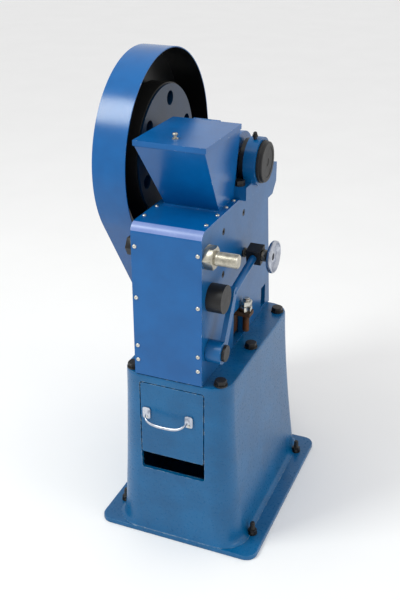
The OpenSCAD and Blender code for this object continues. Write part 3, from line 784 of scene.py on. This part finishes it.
def make_housing_bolts():
    shank = turned([(-62, 0), (-62, 5.2), (-61, 6), (0.2, 6), (0.2, 0)], 32, closed=False)
    model = put(joined([hex_bolt(22, 9, (13, 2.5)), shank]), turn=ALONG_Z)
    spots = [(x, y, 827.06) for x in HOUSING_BOLT_X for y in HOUSING_BOLT_Y]
    place(copies(model, spots), "housing_hex_bolts", BLACKED, "housing_bolts")


def make_lid_knob():
    knob = turned([(0, 0), (0, 6.4), (1.6, 6.4), (2.2, 3.4), (6.2, 3.0), (6.8, 4.8), (8, 5.5), (10.4,
        5.5), (11.8, 4.2), (12, 0)], 48, closed=False)
    place(put(put(softened(knob, 0, smooth=30), turn=ALONG_Z), -11, -199, 968.05), "lid_knob_turned",
        BRIGHT, "lid_knob")


def paint_where(piece, finish, wanted):
    """A second finish on the faces whose centre and normal pass."""
    piece.data.materials.append(finish)
    for face in piece.data.polygons:
        if wanted(face.center / MM, face.normal):
            face.material_index = len(piece.data.materials) - 1


def make_belt_guard():
    guard = dressed("belt_guard", "teardrop_belt_guard", BLUE_SMOOTH, 0.7, 2)
    low, high = Vector(MOTOR), Vector(SHAFT)

    def inside(c, n):
        here = Vector((c.y, c.z))
        along = max(0, min(1, (here - high).dot(low - high) / (low - high).length_squared))
        away = here - high.lerp(low, along)
        return c.x > -205.6 and c.x < -130.2 and (n.x > 0.7 or Vector((n.y, n.z)).dot(away) < 0)

    # The guard's inner faces take the near-black finish: dark primer with painted shade of the hollow.
    paint_where(guard, GUARD_PRIMER_AND_SHADE, inside)


def make_motor():
    """Ribbed frame, end shields, fan cowl with slots, feet and terminal box."""
    y, z = MOTOR
    body = softened(turned([(-110, 0), (-110, 24), (-106, 26), (-104, 56), (-100, 62), (-92, 63), (-91,
        58), (30, 58), (31, 63), (36, 63), (36, 0)], 64, closed=False), 0)
    ribs = []
    for i in range(32):
        rib = cube(-90, 29, -1.2, 1.2, 56, 65.6)
        ribs.append(put(rib, turn=Matrix.Rotation(math.radians(11.25 * i + 5.6), 3, "X")))
    cowl = turned([(36.2, 0), (36.2, 62.8), (50, 62.6), (55, 60), (57.6, 54), (57.9, 0)], 64, closed=False)
    for i in range(12):
        slot = put(cube(53, 60, -3, 3, 18, 50), turn=Matrix.Rotation(math.radians(30 * i), 3, "X"))
        cut(cowl, slot)
    feet = [softened(cube(-85, 15, o - 18, o + 18, 132.15 - z, 150 - z), 1.5) for o in (-42, 42)]
    box = softened(cube(-70, 0, -34, 34, 56, 84), 2.0, 3)
    lid = softened(cube(-70, 0, -33.8, 33.8, 84.4, 89.8), 1.2)
    parts = [body] + ribs + [softened(cowl, 0.5, 2)] + feet + [box, lid]
    place(put(joined(parts), y=y, z=z), "ribbed_motor", DARK_BLUE, "motor")


for make in (make_tie_bolt, make_clamp, make_stop, make_gate_screw, make_caps, make_housing_bolts,
    make_lid_knob, make_belt_guard, make_motor):
    make()

cover = dressed("front_cover", "front_cover.finished", BLUE_SMOOTH, 0.7)
# The bend's faces that look up and forward get the pale enamel as a painted reflection of the light.
paint_where(cover, PAINTED_BEND_REFLECTION, lambda c, n: n.z > 0.22 and n.y < -0.22 and c.z > 760)

FINISHES = {
    "drawer_rails": (PLAIN, 0.4), "drawer_bin": (PLAIN, 0.5), "handle_screws": (ZINC,
        0.2), "discharge_chute": (RUSTY, 0.5),
    "side_plate_right": (BLUE, 1.1), "side_plate_left": (BLUE, 1.1), "rear_covers": (BLUE_SMOOTH,
        0.7), "head_hood": (BLUE_SMOOTH, 0.7),
    "hopper": (BLUE_SMOOTH, 0.8), "hinge_fixed_leaf": (BLUE, 0.3), "hopper_lid": (BLUE_SMOOTH,
        0.9), "cheek_plates": (JAW, 0.8),
    "cheek_screws": (BLACKED, 0.3), "rear_beam": (RUSTY, 1.0), "toggle_plate": (RUSTY,
        0.8), "housing_right": (BLUE, 1.4),
    "housing_left": (BLUE, 1.4), "inner_caps": (BLACKED, 1.2), "bearings": (BRIGHT,
        0.6), "grease_nipples": (BLACKED, 0.3),
    "eccentric_shaft": (BRIGHT, 0.8), "drive_wheel": (DARK_BLUE, 1.2), "wheel_nut": (BRIGHT,
        0.6), "drive_belt": (RUBBER, 0.8),
    "motor_pulley": (PLAIN, 0.6), "motor_bracket": (BLUE_WORN, 0.9), "swing_jaw": (RUSTY,
        1.5), "jaw_bush": (BRIGHT, 0.5),
    "moving_jaw_plate": (JAW, 0.8), "tension_rod": (PLAIN, 0.6), "front_jaw": (RUSTY,
        1.2), "fixed_jaw_plate": (JAW, 0.8),
    "cam_shaft": (CAST, 1.4), "lever": (BLUE, 1.3), "lever_block": (BLACKED, 1.3), "stop_boss": (BLACKED,
        1.6), "screw_bracket": (RUSTY, 0.5),
}
for node, (finish, width) in FINISHES.items():
    dressed(node, node + ".finished", finish, width)


# ---------------------------------------------------------------- floor, light and camera
def make_studio():
    floor_finish, tree, where = new_finish("pale_studio_floor")
    speck = add(tree, "ShaderNodeTexNoise", {"Scale": 3.0, "Detail": 2.0}, where)
    tone = add(
        tree, "ShaderNodeMix", {"data_type": "RGBA", 6: "#FAFAFA", 7: "#FFFFFF"}, {0: (speck, "Fac")}
    )
    surface = add(tree, "ShaderNodeBsdfPrincipled", {"Roughness": 0.85, "Specular IOR Level": 0.15},
        {"Base Color": (tone, 2)})
    add(tree, "ShaderNodeOutputMaterial", links={"Surface": (surface, "BSDF")})
    lone()
    bpy.ops.mesh.primitive_plane_add(size=40, location=(0, 0, -0.0005))
    floor = settle(bpy.context.object)
    floor.name = "studio_floor"
    floor.data.materials.append(floor_finish)

    world = bpy.data.worlds.new("soft_room")
    bpy.context.scene.world = world
    world.use_nodes = True
    world.node_tree.nodes["Background"].inputs["Color"].default_value = (1, 1, 1, 1)
    world.node_tree.nodes["Background"].inputs["Strength"].default_value = 0.82

    def softbox(name, at, aim, size, power, tint=(1, 1, 1)):
        lamp = bpy.data.lights.new(name, "AREA")
        lamp.shape = "RECTANGLE"
        lamp.size, lamp.size_y = size
        lamp.energy = power
        lamp.color = tint
        holder = bpy.data.objects.new(name, lamp)
        holder.location = at
        holder.rotation_euler = (Vector(aim) - Vector(at)).to_track_quat("-Z", "Y").to_euler()
        bpy.context.scene.collection.objects.link(holder)

    softbox("key_softbox", (-1.15, -1.25, 2.5), (-0.1, -0.1, 0.7), (0.7, 0.9), 30, (0.96, 1, 0.97))
    softbox("side_softbox", (2.6, -0.6, 1.6), (0, 0, 0.5), (1.0, 1.6), 9)

    lens = bpy.data.cameras.new("camera")
    lens.lens = 53.23
    lens.sensor_width = 36
    lens.clip_end = 100
    camera = bpy.data.objects.new("camera", lens)
    camera.location = (0.6871, -1.7641, 1.4560)
    camera.rotation_euler = (math.radians(63.8), 0, math.radians(22.4))
    bpy.context.scene.collection.objects.link(camera)
    bpy.context.scene.camera = camera
    bpy.context.scene.view_settings.view_transform = "Standard"


make_studio()
